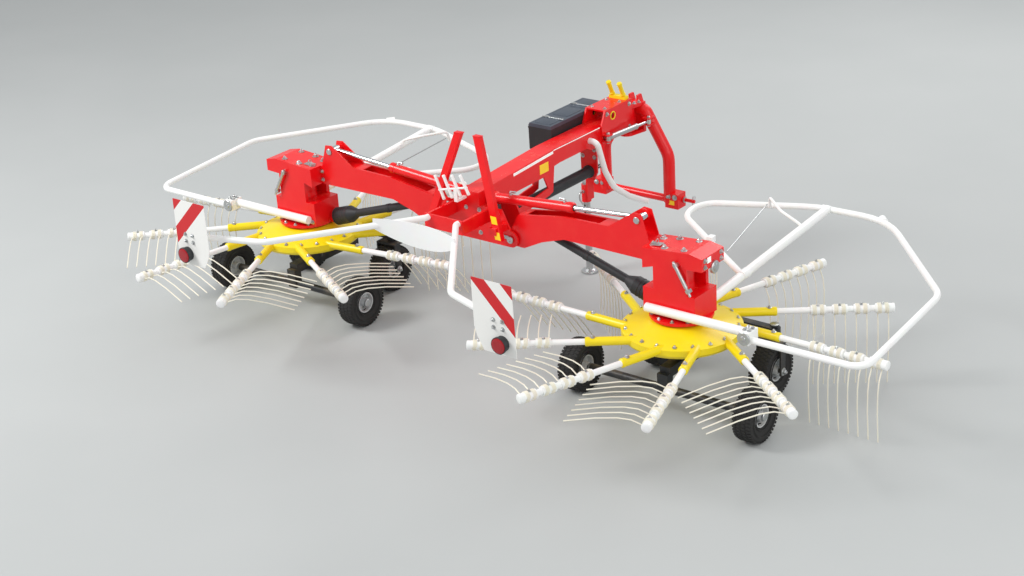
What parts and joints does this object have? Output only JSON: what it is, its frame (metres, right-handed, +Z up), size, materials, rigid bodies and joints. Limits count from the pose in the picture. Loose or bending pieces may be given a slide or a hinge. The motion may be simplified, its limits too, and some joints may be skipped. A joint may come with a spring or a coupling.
{
  "type": "twin rotor hay rake",
  "caption": "Mounted twin rotor hay rake: red frame on a three-point headstock, two folding booms with tined rotors, guard hoops, wheel carriers and rear warning boards.",
  "frame": {"origin": "floor point under the middle of the machine's length and width", "axes": "+X to the machine's right, +Y in the travel direction, +Z up"},
  "size_m": [6.3678, 3.6013, 1.616],
  "materials": {
    "red_paint": "powder coated",
    "white_paint": "powder coated",
    "yellow_paint": "powder coated",
    "dark_paint": "painted",
    "black_plastic": "moulded",
    "lid_plastic": "moulded",
    "gear_casting": "painted",
    "zinc_steel": "zinc plated",
    "rod_chrome": "ground and chromed",
    "tine_wire": "spring wire",
    "tyre_rubber": "moulded",
    "rim_steel": "pressed",
    "lamp_red": "moulded lens"
  },
  "bodies": {
    "frame": {"main_beam": "red_paint", "centre_frame": "red_paint", "mast_posts": "red_paint", "hose_comb": "white_paint", "hose_holder": "yellow_paint", "toolbox": "black_plastic", "guard_tubes": "white_paint", "light_frame": "white_paint", "warning_boards": "white_paint", "rear_lamps": "lamp_red", "centre_gearbox": "gear_casting", "input_shaft": "black_plastic"},
    "toolbox_lid": {"toolbox_lid": "lid_plastic"},
    "parking_leg": {"parking_leg": "zinc_steel"},
    "headstock": {"headstock": "red_paint"},
    "boom_left": {"boom_left": "red_paint", "rotor_head_left": "red_paint", "guard_hoop_left": "white_paint", "drive_shaft_left": "black_plastic", "chassis_left": "dark_paint"},
    "lift_barrel_left": {"lift_barrel_left": "red_paint"},
    "lift_rod_left": {"lift_rod_left": "rod_chrome"},
    "rotor_left": {"hub_left": "yellow_paint", "arms_left": "white_paint", "tines_left": "tine_wire"},
    "wheel_left_rear_inner": {"tyre_left_rear_inner": "tyre_rubber", "rim_left_rear_inner": "rim_steel"},
    "wheel_left_rear_outer": {"tyre_left_rear_outer": "tyre_rubber", "rim_left_rear_outer": "rim_steel"},
    "wheel_left_front_inner": {"tyre_left_front_inner": "tyre_rubber", "rim_left_front_inner": "rim_steel"},
    "caster_left_inner": {"caster_left_inner": "dark_paint"},
    "wheel_left_front_outer": {"tyre_left_front_outer": "tyre_rubber", "rim_left_front_outer": "rim_steel"},
    "caster_left_outer": {"caster_left_outer": "dark_paint"},
    "boom_right": {"boom_right": "red_paint", "rotor_head_right": "red_paint", "guard_hoop_right": "white_paint", "drive_shaft_right": "black_plastic", "chassis_right": "dark_paint"},
    "lift_barrel_right": {"lift_barrel_right": "red_paint"},
    "lift_rod_right": {"lift_rod_right": "rod_chrome"},
    "rotor_right": {"hub_right": "yellow_paint", "arms_right": "white_paint", "tines_right": "tine_wire"},
    "damper_barrel_right": {"damper_barrel_right": "zinc_steel"},
    "damper_rod_right": {"damper_rod_right": "zinc_steel"},
    "wheel_right_rear_inner": {"tyre_right_rear_inner": "tyre_rubber", "rim_right_rear_inner": "rim_steel"},
    "wheel_right_rear_outer": {"tyre_right_rear_outer": "tyre_rubber", "rim_right_rear_outer": "rim_steel"},
    "wheel_right_front_inner": {"tyre_right_front_inner": "tyre_rubber", "rim_right_front_inner": "rim_steel"},
    "caster_right_inner": {"caster_right_inner": "dark_paint"},
    "wheel_right_front_outer": {"tyre_right_front_outer": "tyre_rubber", "rim_right_front_outer": "rim_steel"},
    "caster_right_outer": {"caster_right_outer": "dark_paint"}
  },
  "joints": [
    {"name": "headstock_swivel", "type": "hinge", "parent": "frame", "child": "headstock", "pos_m": [0, 1.57065, 1.255], "axis": [0, 0, 1], "range_deg": [-15, 15]},
    {"name": "parking_leg_slide", "type": "slide", "parent": "frame", "child": "parking_leg", "axis": [0, 0, 1], "range_m": [0, 0.3]},
    {"name": "toolbox_lid_hinge", "type": "hinge", "parent": "frame", "child": "toolbox_lid", "pos_m": [-0.302, 1.08065, 1.3183], "axis": [0, -1, 0], "range_deg": [0, 100]},
    {"name": "boom_fold_left", "type": "hinge", "parent": "frame", "child": "boom_left", "pos_m": [-0.33, -0.23435, 0.9], "axis": [0, 1, 0], "range_deg": [0, 85]},
    {"name": "lift_pivot_left", "type": "hinge", "parent": "frame", "child": "lift_barrel_left", "pos_m": [-0.13, -0.23435, 1.15], "axis": [0, 1, 0], "range_deg": [0, 90]},
    {"name": "lift_slide_left", "type": "slide", "parent": "lift_barrel_left", "child": "lift_rod_left", "axis": [-0.9972, 0, 0.0752], "range_m": [-0.43, 0]},
    {"name": "rotor_spin_left", "type": "hinge", "parent": "boom_left", "child": "rotor_left", "pos_m": [-1.713, -0.27935, 0.55], "axis": [0, 0, -1], "continuous": true},
    {"name": "wheel_spin_left_rear_inner", "type": "hinge", "parent": "boom_left", "child": "wheel_left_rear_inner", "pos_m": [-1.023, -0.49435, 0.185], "axis": [1, 0, 0], "continuous": true},
    {"name": "wheel_spin_left_rear_outer", "type": "hinge", "parent": "boom_left", "child": "wheel_left_rear_outer", "pos_m": [-2.403, -0.49435, 0.185], "axis": [1, 0, 0], "continuous": true},
    {"name": "caster_swivel_left_inner", "type": "hinge", "parent": "boom_left", "child": "caster_left_inner", "pos_m": [-1.273, 0.16565, 0.4], "axis": [0, 0, 1], "continuous": true},
    {"name": "wheel_spin_left_front_inner", "type": "hinge", "parent": "caster_left_inner", "child": "wheel_left_front_inner", "pos_m": [-1.273, 0.11565, 0.185], "axis": [1, 0, 0], "continuous": true},
    {"name": "caster_swivel_left_outer", "type": "hinge", "parent": "boom_left", "child": "caster_left_outer", "pos_m": [-2.153, 0.16565, 0.4], "axis": [0, 0, 1], "continuous": true},
    {"name": "wheel_spin_left_front_outer", "type": "hinge", "parent": "caster_left_outer", "child": "wheel_left_front_outer", "pos_m": [-2.153, 0.11565, 0.185], "axis": [1, 0, 0], "continuous": true},
    {"name": "boom_fold_right", "type": "hinge", "parent": "frame", "child": "boom_right", "pos_m": [0.33, -0.23435, 0.9], "axis": [0, -1, 0], "range_deg": [0, 85]},
    {"name": "lift_pivot_right", "type": "hinge", "parent": "frame", "child": "lift_barrel_right", "pos_m": [0.13, -0.23435, 1.15], "axis": [0, -1, 0], "range_deg": [0, 90]},
    {"name": "lift_slide_right", "type": "slide", "parent": "lift_barrel_right", "child": "lift_rod_right", "axis": [0.9972, 0, 0.0752], "range_m": [-0.43, 0]},
    {"name": "rotor_spin_right", "type": "hinge", "parent": "boom_right", "child": "rotor_right", "pos_m": [1.713, -0.27935, 0.55], "axis": [0, 0, 1], "continuous": true},
    {"name": "damper_pivot_right", "type": "hinge", "parent": "frame", "child": "damper_barrel_right", "pos_m": [0.128, 1.14565, 1.162], "axis": [0, 0, 1], "range_deg": [-3, 3]},
    {"name": "damper_slide_right", "type": "slide", "parent": "damper_barrel_right", "child": "damper_rod_right", "axis": [0.0995, 0.995, 0], "range_m": [-0.047, 0.047]},
    {"name": "wheel_spin_right_rear_inner", "type": "hinge", "parent": "boom_right", "child": "wheel_right_rear_inner", "pos_m": [1.023, -0.49435, 0.185], "axis": [1, 0, 0], "continuous": true},
    {"name": "wheel_spin_right_rear_outer", "type": "hinge", "parent": "boom_right", "child": "wheel_right_rear_outer", "pos_m": [2.403, -0.49435, 0.185], "axis": [1, 0, 0], "continuous": true},
    {"name": "caster_swivel_right_inner", "type": "hinge", "parent": "boom_right", "child": "caster_right_inner", "pos_m": [1.273, 0.16565, 0.4], "axis": [0, 0, 1], "continuous": true},
    {"name": "wheel_spin_right_front_inner", "type": "hinge", "parent": "caster_right_inner", "child": "wheel_right_front_inner", "pos_m": [1.273, 0.11565, 0.185], "axis": [1, 0, 0], "continuous": true},
    {"name": "caster_swivel_right_outer", "type": "hinge", "parent": "boom_right", "child": "caster_right_outer", "pos_m": [2.153, 0.16565, 0.4], "axis": [0, 0, 1], "continuous": true},
    {"name": "wheel_spin_right_front_outer", "type": "hinge", "parent": "caster_right_outer", "child": "wheel_right_front_outer", "pos_m": [2.153, 0.11565, 0.185], "axis": [1, 0, 0], "continuous": true}
  ],
  "couplings": [
    {"joint": "lift_pivot_left", "follows": "boom_fold_left", "ratio": 1.0494},
    {"joint": "lift_slide_left", "follows": "boom_fold_left", "m_per_rad": -0.28713},
    {"joint": "lift_pivot_right", "follows": "boom_fold_right", "ratio": 1.0494},
    {"joint": "lift_slide_right", "follows": "boom_fold_right", "m_per_rad": -0.28713},
    {"joint": "damper_pivot_right", "follows": "headstock_swivel", "ratio": 0.127},
    {"joint": "damper_slide_right", "follows": "headstock_swivel", "m_per_rad": 0.168}
  ]
}
